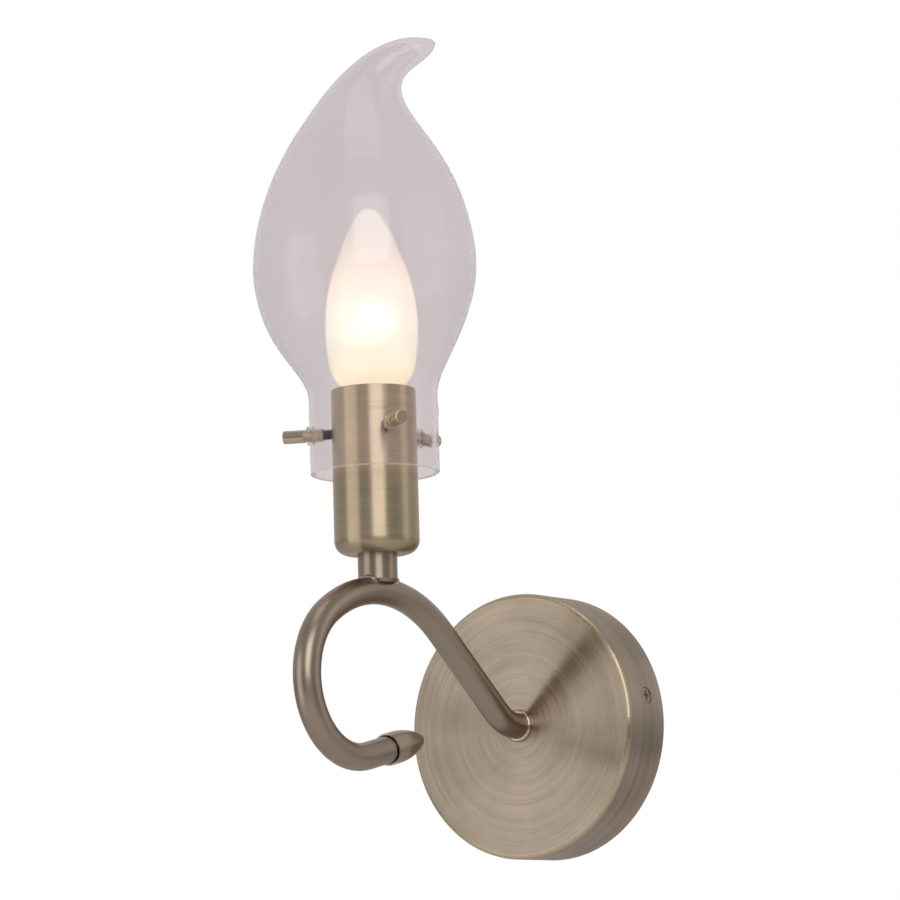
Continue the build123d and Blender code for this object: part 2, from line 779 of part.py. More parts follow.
with BuildPart() as lampholder_shell:
    with BuildSketch(level(holder_base_top)):
        Circle(holder_radius)
        Circle(holder_inside, mode=Mode.SUBTRACT)
    extrude(amount=holder_top - holder_base_top)
    with BuildSketch(level(holder_top - lip_height)):
        Circle(holder_radius)
        Circle(shell_bore + shell_wall, mode=Mode.SUBTRACT)
    extrude(amount=lip_height)
lampholder_shell.part.label = "lampholder_shell"
export_step(lampholder_shell.part, "parts/lampholder_shell.step")

with BuildPart() as lampholder_disc:
    with BuildSketch(level(disc_base)):
        Circle(disc_radius)
    extrude(amount=disc_thickness)
lampholder_disc.part.label = "lampholder_disc"
export_step(lampholder_disc.part, "parts/lampholder_disc.step")

with BuildPart() as lampholder_thread:
    with BuildSketch(level(disc_top)):
        Circle(disc_radius)
        Circle(shell_bore, mode=Mode.SUBTRACT)
    extrude(amount=shell_flange)
    with BuildSketch(level(disc_top)):
        Circle(shell_bore + shell_wall)
        Circle(shell_bore, mode=Mode.SUBTRACT)
    extrude(amount=shell_depth)
lampholder_thread.part.label = "lampholder_thread"
export_step(lampholder_thread.part, "parts/lampholder_thread.step")

# Contact tongue: bent up from its foot to meet the lamp's tip
tongue_top = tongue_rise - fit_gap
with BuildPart() as lampholder_contact:
    with BuildSketch(standing(disc_top)):
        with BuildLine():
            Polyline(
                (-tongue_length / 2, 0), (0, 0), (0, tongue_thickness),
                (-tongue_length / 3, tongue_thickness), (-tongue_length / 6, tongue_top - tongue_thickness),
                (tongue_length / 4, tongue_top - tongue_thickness), (tongue_length / 4, tongue_top),
                (-tongue_length / 5, tongue_top), (-tongue_length / 2, tongue_thickness), close=True,
            )
        make_face()
    extrude(amount=tongue_width / 2, both=True)
lampholder_contact.part.label = "lampholder_contact"
export_step(lampholder_contact.part, "parts/lampholder_contact.step")

holder_poles = [(0, holder_terminal_spacing / 2), (0, -holder_terminal_spacing / 2)]
with BuildPart() as lampholder_terminals:
    with BuildSketch(level(terminal_base)):
        with Locations(*holder_poles):
            Rectangle(holder_terminal_width, holder_terminal_width)
    extrude(amount=holder_terminal_height)
    with BuildSketch(level(terminal_base)):
        with Locations(*holder_poles):
            Circle(wire_radius + fit_gap)
    extrude(amount=wire_depth + fit_gap, mode=Mode.SUBTRACT)
lampholder_terminals.part.label = "lampholder_terminals"
export_step(lampholder_terminals.part, "parts/lampholder_terminals.step")

# Line and neutral wires: from the block, round into the arm's bore, up at the crown and out to the holder
leave = degrees(asin((wire_turn_radius - cup_past_crown) / (crown_radius + wire_turn_radius)))
turn_top = crown.Y - crown_radius + (crown_radius + wire_turn_radius) * cos(radians(leave))
block_end = block_start + block_length
for label, above, pole in (("line_wire", wire_offset, poles[0]), ("neutral_wire", -wire_offset, poles[1])):
    flare = copysign(flare_turn, above)
    arm_steps = [
        (root_length, 0),
        (lift_radius - above, lift_angle),
        (rise_length, 0),
        (crown_radius + above, leave - lift_angle),
        (wire_turn_radius - above, 90 - leave),
        (nipple_top - turn_top, 0),
        (wire_flare_radius, flare),
        (wire_flare_radius, -flare),
        (wire_depth, 0),
    ]
    with BuildPart() as arm_wire:
        with BuildLine(side) as wire_route:
            FilletPolyline(
                strip.from_local_coords(Vector(block_end - wire_depth, pole, pole_height)),
                strip.from_local_coords(Vector(block_end + wire_lead, pole, pole_height)),
                side.from_local_coords(Vector(pole_height, above, 0)),
                side.from_local_coords(Vector(arm_end, above, 0)),
                radius=(wire_lead_radius, wire_corner_radius),
            )
            draw_route(Vector(arm_end, above), 0, arm_steps)
        with BuildSketch(start_plane(wire_route.wires()[0])):
            Circle(wire_radius)
        sweep(path=wire_route.wires()[0])
    arm_wire.part.label = label
    export_step(arm_wire.part, f"parts/{label}.step")

# Lamp tip, the contact at the foot of the cap, with a pin up into the insulator
with BuildPart() as lamp_contact:
    with BuildSketch(level(lamp_seat)):
        Circle(tip_radius)
    extrude(amount=tip_height)
    fillet(lamp_contact.edges().group_by(Axis.Z)[0], tip_height / 2)
    with BuildSketch(level(lamp_seat + tip_height)):
        Circle(tip_pin_radius)
    extrude(amount=tip_pin_length)
lamp_contact.part.label = "lamp_contact"
export_step(lamp_contact.part, "parts/lamp_contact.step")

insulator_foot = tip_height + fit_gap
insulator_top = cap_bottom + insulator_lap
with BuildPart() as lamp_insulator:
    with BuildSketch(standing(lamp_seat)):
        with BuildLine():
            Polyline(
                (tip_pin_radius + fit_gap, insulator_foot), (insulator_radius, insulator_foot),
                (cap_bore - fit_gap, cap_bottom), (cap_bore - fit_gap, insulator_top),
                (tip_pin_radius + fit_gap, insulator_top), close=True,
            )
        make_face()
    revolve(axis=lamp_axis)
lamp_insulator.part.label = "lamp_insulator"
export_step(lamp_insulator.part, "parts/lamp_insulator.step")

# Lamp cap: a rolled screw shell that flares into a skirt round the neck of the envelope
thread_top = cap_bottom + cap_turn_count * cap_pitch
skirt_foot = cap_height - skirt_height
skirt_bore = lamp_neck_radius + fit_gap
with BuildPart() as lamp_cap:
    with BuildSketch(standing(lamp_seat)):
        with BuildLine():
            for turn in range(cap_turn_count):
                foot = cap_bottom + turn * cap_pitch
                ThreePointArc(
                    (cap_root, foot), (cap_crest, foot + cap_pitch / 2), (cap_root, foot + cap_pitch)
                )
            Polyline(
                (cap_root, thread_top), (skirt_bore + cap_wall, skirt_foot),
                (skirt_bore + cap_wall, cap_height), (skirt_bore, cap_height), (skirt_bore, skirt_foot),
                (cap_bore, thread_top), (cap_bore, cap_bottom), (cap_root, cap_bottom),
            )
        make_face()
    revolve(axis=lamp_axis)
lamp_cap.part.label = "lamp_cap"
export_step(lamp_cap.part, "parts/lamp_cap.step")

# Lamp envelope: frosted candle bulb, a thin shell open at its neck
neck_foot = skirt_foot + fit_gap
with BuildPart() as lamp_envelope:
    for inset, mode in ((0, Mode.ADD), (lamp_wall, Mode.SUBTRACT)):
        neck = lamp_neck_radius - inset
        tip_round = bulb_tip_radius - inset
        tip_centre = lamp_length - bulb_tip_radius
        shoulder = polar(tip_round, 90 - bulb_tip_angle)
        with BuildSketch(standing(lamp_seat)):
            with BuildLine():
                Line((neck, neck_foot), (neck, cap_height))
                outline = [
                    (girth * lamp_radius - inset, cap_height + rise * (lamp_length - cap_height))
                    for girth, rise in bulb_outline
                ]
                Spline(
                    (neck, cap_height), *outline, (shoulder.X, tip_centre + shoulder.Y),
                    tangents=((0, 1), (-shoulder.Y, shoulder.X)),
                )
                CenterArc((0, tip_centre), tip_round, 90 - bulb_tip_angle, bulb_tip_angle)
                Polyline((0, lamp_length - inset), (0, neck_foot), (neck, neck_foot))
            make_face()
        revolve(axis=lamp_axis, mode=mode)
lamp_envelope.part.label = "lamp_envelope"
export_step(lamp_envelope.part, "parts/lamp_envelope.step")

# Lamp mount: glass stem, two leads and the filament between them
stem_foot_radius = lamp_neck_radius - lamp_wall - fit_gap
with BuildPart() as lamp_stem:
    with BuildSketch(level(lamp_seat + neck_foot)):
        Circle(stem_foot_radius)
    extrude(amount=stem_foot_height)
    with BuildSketch(level(lamp_seat + neck_foot)):
        Circle(stem_radius)
    extrude(amount=stem_height - neck_foot)
lamp_stem.part.label = "lamp_stem"
export_step(lamp_stem.part, "parts/lamp_stem.step")

with BuildPart() as lamp_leads:
    for way in (1, -1):
        with BuildLine(standing(lamp_seat)) as lead_route:
            FilletPolyline(
                (way * stem_radius / 2, stem_height), (way * stem_radius / 2, stem_height + lead_bend),
                (way * lead_spread, filament_height - lead_bend), (way * lead_spread, filament_height),
                radius=lead_bend,
            )
        with BuildSketch(start_plane(lead_route.wires()[0])):
            Circle(lead_radius)
        sweep(path=lead_route.wires()[0])
lamp_leads.part.label = "lamp_leads"
export_step(lamp_leads.part, "parts/lamp_leads.step")

with BuildPart() as lamp_filament:
    with BuildLine(standing(lamp_seat)) as filament_route:
        CenterArc((0, filament_height), lead_spread, 0, 180)
    with BuildSketch(start_plane(filament_route.wires()[0])):
        Circle(lead_radius)
    sweep(path=filament_route.wires()[0])
lamp_filament.part.label = "lamp_filament"
export_step(lamp_filament.part, "parts/lamp_filament.step")
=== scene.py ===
import bmesh
import bpy
from math import asin, cos, exp, pi, radians, sin, sqrt
from mathutils import Matrix, Vector, noise as lumps


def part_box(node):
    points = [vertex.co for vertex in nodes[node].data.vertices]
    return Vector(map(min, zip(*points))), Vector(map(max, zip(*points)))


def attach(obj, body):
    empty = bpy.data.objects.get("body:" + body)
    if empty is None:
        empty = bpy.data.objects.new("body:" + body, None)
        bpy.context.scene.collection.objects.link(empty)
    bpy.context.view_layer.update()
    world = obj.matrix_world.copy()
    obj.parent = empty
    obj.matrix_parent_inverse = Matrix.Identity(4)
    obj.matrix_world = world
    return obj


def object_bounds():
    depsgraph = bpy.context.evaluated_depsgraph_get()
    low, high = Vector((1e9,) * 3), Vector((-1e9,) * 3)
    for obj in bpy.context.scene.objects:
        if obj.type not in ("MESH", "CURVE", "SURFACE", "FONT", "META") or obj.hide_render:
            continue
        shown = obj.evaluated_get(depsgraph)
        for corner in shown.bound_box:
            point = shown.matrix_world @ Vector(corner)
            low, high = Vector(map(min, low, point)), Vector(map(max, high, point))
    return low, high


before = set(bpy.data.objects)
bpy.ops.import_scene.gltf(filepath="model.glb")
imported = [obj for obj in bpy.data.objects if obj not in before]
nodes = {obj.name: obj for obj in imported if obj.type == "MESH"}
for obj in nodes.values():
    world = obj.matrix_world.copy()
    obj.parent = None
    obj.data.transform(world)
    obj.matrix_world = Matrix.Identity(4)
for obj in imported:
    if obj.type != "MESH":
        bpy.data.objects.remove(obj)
cad_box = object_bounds()
scene = bpy.context.scene

# Camera as measured in the photograph: degrees, metres and pixels of a 900 pixel image
CAMERA_AZIMUTH = 35.868
CAMERA_PITCH = 9.178
CAMERA_ROLL = -1.678
CAMERA_DISTANCE = 1.2352
CAMERA_SIDE = 0.01603
CAMERA_RISE = 0.09826
CAMERA_PIVOT = Vector((0, -0.09, 0))
CAMERA_CLIP = 0.05
FOCAL_PIXELS = 3349.5
IMAGE_PIXELS = 900
SENSOR_MM = 36.0

# Finishes, as linear colour, with the colours of a painted highlight and of painted shade
BRASS = (0.46, 0.372, 0.288)
CUP_BRASS = (0.47, 0.378, 0.262)
BRASS_DARK = (0.36, 0.29, 0.225)
BRASS_BRIGHT = (0.62, 0.51, 0.39)
# Bright brass of the painted highlight at the canopy's corner
HIGHLIGHT_BRASS = (0.8, 0.66, 0.42)
PLAIN_BRASS = (0.55, 0.42, 0.18)
STEEL = (0.42, 0.43, 0.45)
NICKEL = (0.5, 0.48, 0.45)
GLASS = (0.93, 0.915, 0.92)
# Dark colour of the painted shade on the thumb screws' thread inside the glass neck
THREAD_SHADE = (0.1, 0.085, 0.075)
SLEEVE = (0.92, 0.88, 0.8)
FLOOR = (0.84, 0.83, 0.84)
BACKDROP = (0.69, 0.635, 0.645)
WHITE = (1.0, 1.0, 1.0)

# Most values of a noise texture lie between these
NOISE_LOW = 0.3
NOISE_HIGH = 0.7

# Depth of the grain in metal and plastic
GRAIN_DEPTH = 0.0001

# How far the brushed rings drift through their noise in a radian, and the turn of their stretched gloss
RING_CHANGE = 0.0007
QUARTER_TURN = 0.25

# Width of the painted highlight band at the canopy's corner, and its share of the bright colour
EDGE_HIGHLIGHT_WIDTH = 0.0022
EDGE_HIGHLIGHT_SHARE = 0.45

# The painted shade on the thumb screws' bare thread ends this far from the lamp's axis, with a soft edge to
# each side
THREAD_END = 0.0191
THREAD_BLUR = 0.0002

# The glass is ground below the first height above its rim, and clear above the second
GROUND_RIM = (0.0003, 0.0005)
GROUND_TRANSMISSION = 0.7
GROUND_ROUGHNESS = 0.35
CLEAR_ROUGHNESS = 0.15

# Streaks in the glass: noise scale along the height against across it, and darkest and lightest tone
STREAK_STRETCH = 0.35
STREAK_TONES = (0.985, 1.01)

# The glass bends light little, and has its gloss in a coat
GLASS_INDEX = 1.06
COAT_WEIGHT = 0.6
COAT_ROUGHNESS = 0.11
COAT_INDEX = 1.45

# Sleeves and lamp
SLEEVE_INDEX = 1.25
SLEEVE_TRANSMISSION = 0.88
FROST_INDEX = 1.3
FROST_TRANSMISSION = 0.8
FILAMENT_STRENGTH = 40

# Brazed joint between collar and arm: reach each side of the arm's top line, radius, rings and sides
BRAZE_REACH = 0.0043
BRAZE_RADIUS = 0.00085
BRAZE_RINGS = 36
BRAZE_SIDES = 12

# Lumps of the braze: how much its radius varies, and the place in the noise along it and on each side
BRAZE_LUMPS = 0.55
LUMP_ALONG = 5.3
LUMP_SIDE = 3.1
LUMP_START = 0.4

# One larger drop in the braze, and the thin ends, as shares of radius and length
DROP_SWELL = 0.9
DROP_PLACE = 0.84
DROP_WIDTH = 0.09
BRAZE_TAPER = 0.0625
BRAZE_TIP = 0.05

# The room's brightness below the horizon, its rise above it, and the reach of the change to each side
ROOM_LOW = 0.55
ROOM_RISE = 0.6
ROOM_HORIZON = 0.2

# Floor: size, depth below the part, and the distances from its middle between which it fades to white
FLOOR_SIZE = 6
FLOOR_CELLS = 8
FLOOR_DEPTH = 0.5
FLOOR_FADE = (0.1, 1.6)

# The lamp's axis and ends, the shade's rim and the canopy's front corner, from the frame
cup_low, cup_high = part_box("candle_cup")
lamp_foot = ((cup_low[0] + cup_high[0]) / 2, (cup_low[1] + cup_high[1]) / 2, 0)
lamp_low, lamp_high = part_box("lamp_envelope")
rim_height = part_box("shade_glass")[0][2]
canopy_corner = (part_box("canopy")[1][0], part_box("canopy")[0][1])


def add(tree, kind, **settings):
    """A new node with its settings."""
    node = tree.nodes.new(kind)
    for key, value in settings.items():
        setattr(node, key, value)
    return node


def put(tree, source, target):
    """Link an output socket to an input socket."""
    tree.links.new(source, target)


def maths(tree, operation, first, second=0):
    """A maths node on sockets or numbers, and its result."""
    node = add(tree, "ShaderNodeMath", operation=operation)
    for socket, value in zip(node.inputs, (first, second)):
        if isinstance(value, (int, float)):
            socket.default_value = value
        else:
            put(tree, value, socket)
    return node.outputs[0]


def mixed(tree, first, second, share):
    """Two values added, with that share of the second."""
    rest = maths(tree, "MULTIPLY", first, 1 - share)
    return maths(tree, "ADD", rest, maths(tree, "MULTIPLY", second, share))


def between(tree, value, low, high, results=(0, 1)):
    """The first result below low, the second above high, and a straight change between."""
    node = add(tree, "ShaderNodeMapRange")
    node.inputs["From Min"].default_value = low
    node.inputs["From Max"].default_value = high
    node.inputs["To Min"].default_value = results[0]
    node.inputs["To Max"].default_value = results[1]
    put(tree, value, node.inputs["Value"])
    return node.outputs[0]


def noise(tree, vector, scale, detail, roughness=0.5):
    """A noise texture's value, from a vector socket."""
    node = add(tree, "ShaderNodeTexNoise")
    node.inputs["Scale"].default_value = scale
    node.inputs["Detail"].default_value = detail
    node.inputs["Roughness"].default_value = roughness
    put(tree, vector, node.inputs["Vector"])
    return node.outputs["Fac"]


def ramp(tree, value, low, high):
    """A noise value, spread from low to high."""
    return between(tree, value, NOISE_LOW, NOISE_HIGH, (low, high))


def gloss(tree, value, rough, spread):
    """A roughness, made lower and higher by a noise value."""
    return ramp(tree, value, rough * (1 - spread), rough * (1 + spread))


def graded(tree, value, stops):
    """A colour that goes through stops of (place, colour) as the value goes from 0 to 1."""
    node = add(tree, "ShaderNodeValToRGB")
    elements = node.color_ramp.elements
    while len(elements) < len(stops):
        elements.new(0.5)
    for element, (position, colour) in zip(elements, stops):
        element.position = position
        element.color = (*colour, 1)
    put(tree, value, node.inputs["Fac"])
    return node.outputs["Color"]


def shades(tree, value, dark, light):
    """A colour between two, by a noise value."""
    return graded(tree, value, ((NOISE_LOW, dark), (NOISE_HIGH, light)))


def toned(colour, factor):
    """The colour, lighter or darker."""
    return tuple(channel * factor for channel in colour)


def tones(tree, value, colour, spread):
    """A colour, made darker and lighter by a noise value."""
    return shades(tree, value, toned(colour, 1 - spread), toned(colour, 1 + spread))


def blend(tree, share, first, second):
    """A colour between two, which are sockets or linear colours, by a share."""
    node = add(tree, "ShaderNodeMix", data_type="RGBA")
    put(tree, share, node.inputs["Factor"])
    for letter, colour in zip("AB", (first, second)):
        if isinstance(colour, tuple):
            node.inputs[letter].default_value = (*colour, 1)
        else:
            put(tree, colour, node.inputs[letter])
    return node.outputs["Result"]


def either(tree, share, first, second):
    """A shader between two, by a share."""
    node = add(tree, "ShaderNodeMixShader")
    for socket, source in zip(node.inputs, (share, first, second)):
        put(tree, source, socket)
    return node.outputs[0]


def height_of(tree, vector):
    """The Z of a vector socket."""
    parts = add(tree, "ShaderNodeSeparateXYZ")
    put(tree, vector, parts.inputs[0])
    return parts.outputs["Z"]


def round_axis(tree, place, axis, centre):
    """Distance from an axis through a centre, angle round it and place along it."""
    moved = add(tree, "ShaderNodeVectorMath", operation="SUBTRACT")
    moved.inputs[1].default_value = centre
    put(tree, place, moved.inputs[0])
    parts = add(tree, "ShaderNodeSeparateXYZ")
    put(tree, moved.outputs[0], parts.inputs[0])
    across = [parts.outputs[letter] for letter in "XYZ" if letter != axis]
    squares = [maths(tree, "MULTIPLY", socket, socket) for socket in across]
    distance = maths(tree, "SQRT", maths(tree, "ADD", *squares))
    return distance, maths(tree, "ARCTAN2", *across), parts.outputs[axis]


def blank(name):
    """A new material, its node tree, its shader and its object coordinates."""
    made = bpy.data.materials.new(name)
    made.use_nodes = True
    tree = made.node_tree
    shader = tree.nodes["Principled BSDF"]
    place = add(tree, "ShaderNodeTexCoord").outputs["Object"]
    return made, tree, shader, place


def bump(tree, shader, height, strength):
    """Grain from a height socket."""
    node = add(tree, "ShaderNodeBump")
    node.inputs["Strength"].default_value = strength
    node.inputs["Distance"].default_value = GRAIN_DEPTH
    put(tree, height, node.inputs["Height"])
    put(tree, node.outputs["Normal"], shader.inputs["Normal"])


def painted_edge_highlight(tree, colour, distance, along, corner):
    """The colour, with a painted highlight at a turned piece's corner, given by radius and place along the
    axis.
    """
    radius, front = corner
    near_edge = between(tree, distance, radius - EDGE_HIGHLIGHT_WIDTH, radius - EDGE_HIGHLIGHT_WIDTH / 3)
    near_front = between(tree, along, front + EDGE_HIGHLIGHT_WIDTH, front + EDGE_HIGHLIGHT_WIDTH / 3)
    highlight_share = maths(tree, "MULTIPLY", maths(tree, "MULTIPLY", near_edge, near_front), EDGE_HIGHLIGHT_SHARE)
    return blend(tree, highlight_share, colour, HIGHLIGHT_BRASS)


def brushed_metal(name, colour, axis, centre, rough, spread, stretch, corner=None):
    """Metal brushed in circles round an axis: fine and broad rings in colour, gloss and bump, and a painted
    highlight at a corner where one is given.
    """
    made, tree, shader, place = blank(name)
    distance, angle, along = round_axis(tree, place, axis, centre)
    rings = add(tree, "ShaderNodeCombineXYZ")
    put(tree, maths(tree, "ADD", distance, along), rings.inputs["X"])
    for letter, wave in (("Y", "COSINE"), ("Z", "SINE")):
        put(tree, maths(tree, "MULTIPLY", maths(tree, wave, angle), RING_CHANGE), rings.inputs[letter])
    fine = noise(tree, rings.outputs[0], scale=1500, detail=3, roughness=0.6)
    broad = noise(tree, rings.outputs[0], scale=380, detail=2)
    cloud = noise(tree, place, scale=45, detail=3)
    lines = mixed(tree, fine, broad, share=0.5)
    finish = tones(tree, mixed(tree, lines, cloud, share=0.3), colour, spread)
    # Painted highlight along the corner, where one is given
    if corner:
        finish = painted_edge_highlight(tree, finish, distance, along, corner)
    put(tree, finish, shader.inputs["Base Color"])
    put(tree, gloss(tree, lines, rough, spread=0.15), shader.inputs["Roughness"])
    shader.inputs["Metallic"].default_value = 1.0
    shader.inputs["Anisotropic"].default_value = stretch
    shader.inputs["Anisotropic Rotation"].default_value = QUARTER_TURN
    tangent = add(tree, "ShaderNodeTangent", direction_type="RADIAL", axis=axis)
    put(tree, tangent.outputs[0], shader.inputs["Tangent"])
    bump(tree, shader, lines, strength=0.1)
    return made


def satin_metal(name, colour, rough, grain=900, spread=0.1, relief=0.06):
    """Metal with a fine even grain, and soft clouds in colour and gloss."""
    made, tree, shader, place = blank(name)
    fine = noise(tree, place, scale=grain, detail=3, roughness=0.6)
    cloud = noise(tree, place, scale=60, detail=3)
    tone = mixed(tree, fine, cloud, share=0.5)
    put(tree, tones(tree, tone, colour, spread), shader.inputs["Base Color"])
    put(tree, gloss(tree, tone, rough, spread=0.2), shader.inputs["Roughness"])
    shader.inputs["Metallic"].default_value = 1.0
    bump(tree, shader, fine, strength=relief)
    return made


def moulded(name, colour, rough, grain=700, spread=0.08):
    """Plastic, ceramic or insulation with a faint moulded grain."""
    made, tree, shader, place = blank(name)
    fine = noise(tree, place, scale=grain, detail=2)
    cloud = noise(tree, place, scale=90, detail=2)
    tone = mixed(tree, fine, cloud, share=0.6)
    put(tree, tones(tree, tone, colour, spread), shader.inputs["Base Color"])
    put(tree, gloss(tree, tone, rough, spread=0.15), shader.inputs["Roughness"])
    bump(tree, shader, fine, strength=0.08)
    return made


def pale_floor(name):
    """Matt floor with the shadow under the object, white further out, and clear from below."""
    made = moulded(name, FLOOR, rough=0.7, grain=40, spread=0.02)
    tree = made.node_tree
    place = add(tree, "ShaderNodeTexCoord").outputs["Object"]
    distance, _, _ = round_axis(tree, place, "Z", (0, 0, 0))
    far = between(tree, distance, *FLOOR_FADE)
    rays = add(tree, "ShaderNodeLightPath").outputs
    looked_at = maths(tree, "MAXIMUM", rays["Is Camera Ray"], rays["Is Transmission Ray"])
    glow = add(tree, "ShaderNodeEmission")
    put(tree, blend(tree, rays["Is Camera Ray"], BACKDROP, WHITE), glow.inputs["Color"])
    matt = tree.nodes["Principled BSDF"].outputs[0]
    faded = either(tree, maths(tree, "MULTIPLY", looked_at, far), matt, glow.outputs[0])
    from_below = add(tree, "ShaderNodeNewGeometry").outputs["Backfacing"]
    clear = add(tree, "ShaderNodeBsdfTransparent").outputs[0]
    surface = tree.nodes["Material Output"].inputs["Surface"]
    put(tree, either(tree, from_below, faded, clear), surface)
    return made


def thumb_metal(name, colour, thread_shade_colour, rough):
    """Turned and polished knob, with painted shade darkening the thread on the side of the lamp's axis."""
    made, tree, shader, place = blank(name)
    distance, _, _ = round_axis(tree, place, "Z", lamp_foot)
    fine = noise(tree, place, scale=1400, detail=3, roughness=0.6)
    knob = tones(tree, fine, colour, spread=0.08)
    # The thread nearer the lamp's axis gets painted shade
    thread = tones(tree, fine, thread_shade_colour, spread=0.2)
    past_thread = between(tree, distance, THREAD_END - THREAD_BLUR, THREAD_END + THREAD_BLUR)
    put(tree, blend(tree, past_thread, thread, knob), shader.inputs["Base Color"])
    put(tree, gloss(tree, fine, rough, spread=0.2), shader.inputs["Roughness"])
    shader.inputs["Metallic"].default_value = 1.0
    bump(tree, shader, fine, strength=0.04)
    return made


def milky_plastic(name, colour):
    """Soft translucent plastic."""
    made, tree, shader, place = blank(name)
    cloud = noise(tree, place, scale=500, detail=3)
    put(tree, tones(tree, cloud, colour, spread=0.08), shader.inputs["Base Color"])
    put(tree, ramp(tree, cloud, low=0.12, high=0.2), shader.inputs["Roughness"])
    shader.inputs["IOR"].default_value = SLEEVE_INDEX
    shader.inputs["Transmission Weight"].default_value = SLEEVE_TRANSMISSION
    return made


def clear_glass(name, colour):
    """Blown glass: clear and thin, with faint streaks, a ground lower rim, and the gloss in a coat."""
    made, tree, shader, place = blank(name)
    stretched = add(tree, "ShaderNodeMapping")
    stretched.inputs["Scale"].default_value = (1, 1, STREAK_STRETCH)
    put(tree, place, stretched.inputs["Vector"])
    streaks = noise(tree, stretched.outputs[0], scale=26, detail=2, roughness=0.4)
    dark, light = (toned(colour, factor) for factor in STREAK_TONES)
    put(tree, shades(tree, streaks, dark, light), shader.inputs["Base Color"])
    height = height_of(tree, place)
    rim = [rim_height + rise for rise in GROUND_RIM]
    clearness = between(tree, height, *rim, results=(GROUND_TRANSMISSION, 1))
    put(tree, clearness, shader.inputs["Transmission Weight"])
    roughness = between(tree, height, *rim, results=(GROUND_ROUGHNESS, CLEAR_ROUGHNESS))
    put(tree, roughness, shader.inputs["Roughness"])
    shader.inputs["IOR"].default_value = GLASS_INDEX
    shader.inputs["Coat Weight"].default_value = COAT_WEIGHT
    shader.inputs["Coat Roughness"].default_value = COAT_ROUGHNESS
    shader.inputs["Coat IOR"].default_value = COAT_INDEX
    return made


def glowing_glass(name):
    """Frosted lamp glass, lit from within: warm at the foot and paler at the tip."""
    made, tree, shader, place = blank(name)
    frost = noise(tree, place, scale=1200, detail=2)
    rise = between(tree, height_of(tree, place), lamp_low[2], lamp_high[2])
    glow = graded(tree, rise, (
        (0.15, (0.175, 0.179, 0.135)),
        (0.33, (0.105, 0.138, 0.127)),
        (0.46, (0.125, 0.141, 0.136)),
        (0.62, (0.134, 0.116, 0.1)),
        (0.8, (0.07, 0.075, 0.075)),
    ))
    tint = graded(tree, rise, (
        (0.15, (0.95, 0.855, 0.76)),
        (0.35, (0.95, 0.88, 0.81)),
        (0.6, (0.95, 0.91, 0.87)),
    ))
    put(tree, tint, shader.inputs["Base Color"])
    put(tree, ramp(tree, frost, low=0.7, high=0.78), shader.inputs["Roughness"])
    shader.inputs["IOR"].default_value = FROST_INDEX
    shader.inputs["Transmission Weight"].default_value = FROST_TRANSMISSION
    put(tree, glow, shader.inputs["Emission Color"])
    shader.inputs["Emission Strength"].default_value = 1
    return made


def hot_wire(name):
    """Tungsten wire at white heat, with a slight change of heat along it."""
    made, tree, shader, place = blank(name)
    heat = noise(tree, place, scale=400, detail=2)
    glow = shades(tree, heat, dark=(1.0, 0.84, 0.62), light=(1.0, 0.92, 0.76))
    put(tree, glow, shader.inputs["Emission Color"])
    shader.inputs["Emission Strength"].default_value = FILAMENT_STRENGTH
    shader.inputs["Metallic"].default_value = 1.0
    put(tree, ramp(tree, heat, low=0.3, high=0.4), shader.inputs["Roughness"])
    return made


def dress(material, *names):
    """Give CAD nodes a material."""
    for name in names:
        mesh = nodes[name].data
        mesh.materials.clear()
        mesh.materials.append(material)


# Brushed and turned pieces
# The canopy gets a painted highlight along its front corner
canopy_metal = brushed_metal(
    "brushed_canopy", toned(BRASS, 0.84), "Y", (0, 0, 0),
    rough=0.27, spread=0.34, stretch=1.0, corner=canopy_corner,
)
cup_metal = brushed_metal(
    "brushed_cup", CUP_BRASS, "Z", lamp_foot,
    rough=0.34, spread=0.16, stretch=0.8,
)
collar_metal = brushed_metal(
    "turned_collar", BRASS_DARK, "Z", lamp_foot,
    rough=0.33, spread=0.06, stretch=0.7,
)
dress(canopy_metal, "canopy")
dress(cup_metal, "candle_cup")
dress(collar_metal, "stem_collar")

# Other metal
dress(satin_metal("satin_brass", BRASS_DARK, rough=0.31, grain=3000, spread=0.06, relief=0.01), "arm_tube")
dress(satin_metal("turned_finial", BRASS, rough=0.31, grain=3000, spread=0.06, relief=0.01), "finial")
dress(
    satin_metal("polished_brass", toned(BRASS_BRIGHT, 0.85), rough=0.1, grain=1400, spread=0.1, relief=0.03),
    "arm_ferrule",
)
# Thumb screws, with painted shade on their thread
dress(
    thumb_metal("thumb_brass", toned(BRASS_BRIGHT, 0.92), THREAD_SHADE, rough=0.1),
    "shade_screw_1", "shade_screw_2", "shade_screw_3",
)
dress(satin_metal("screw_brass", BRASS_DARK, rough=0.3), "canopy_screws")
dress(
    satin_metal("plain_brass", PLAIN_BRASS, rough=0.3),
    "earth_screw", "terminal_inserts", "screw_bushes", "lampholder_thread", "lampholder_contact",
    "lampholder_terminals",
)
dress(
    satin_metal("zinc_steel", STEEL, rough=0.38),
    "wall_bracket", "terminal_screws", "block_screw", "arm_nut", "arm_lock_washer", "stem_nipple",
    "cup_washer", "cup_nut",
)
dress(satin_metal("nickel", NICKEL, rough=0.28), "lamp_cap", "lamp_contact", "lamp_leads")
dress(hot_wire("hot_tungsten"), "lamp_filament")
dress(satin_metal("tinned_copper", NICKEL, rough=0.35), "earth_tags")

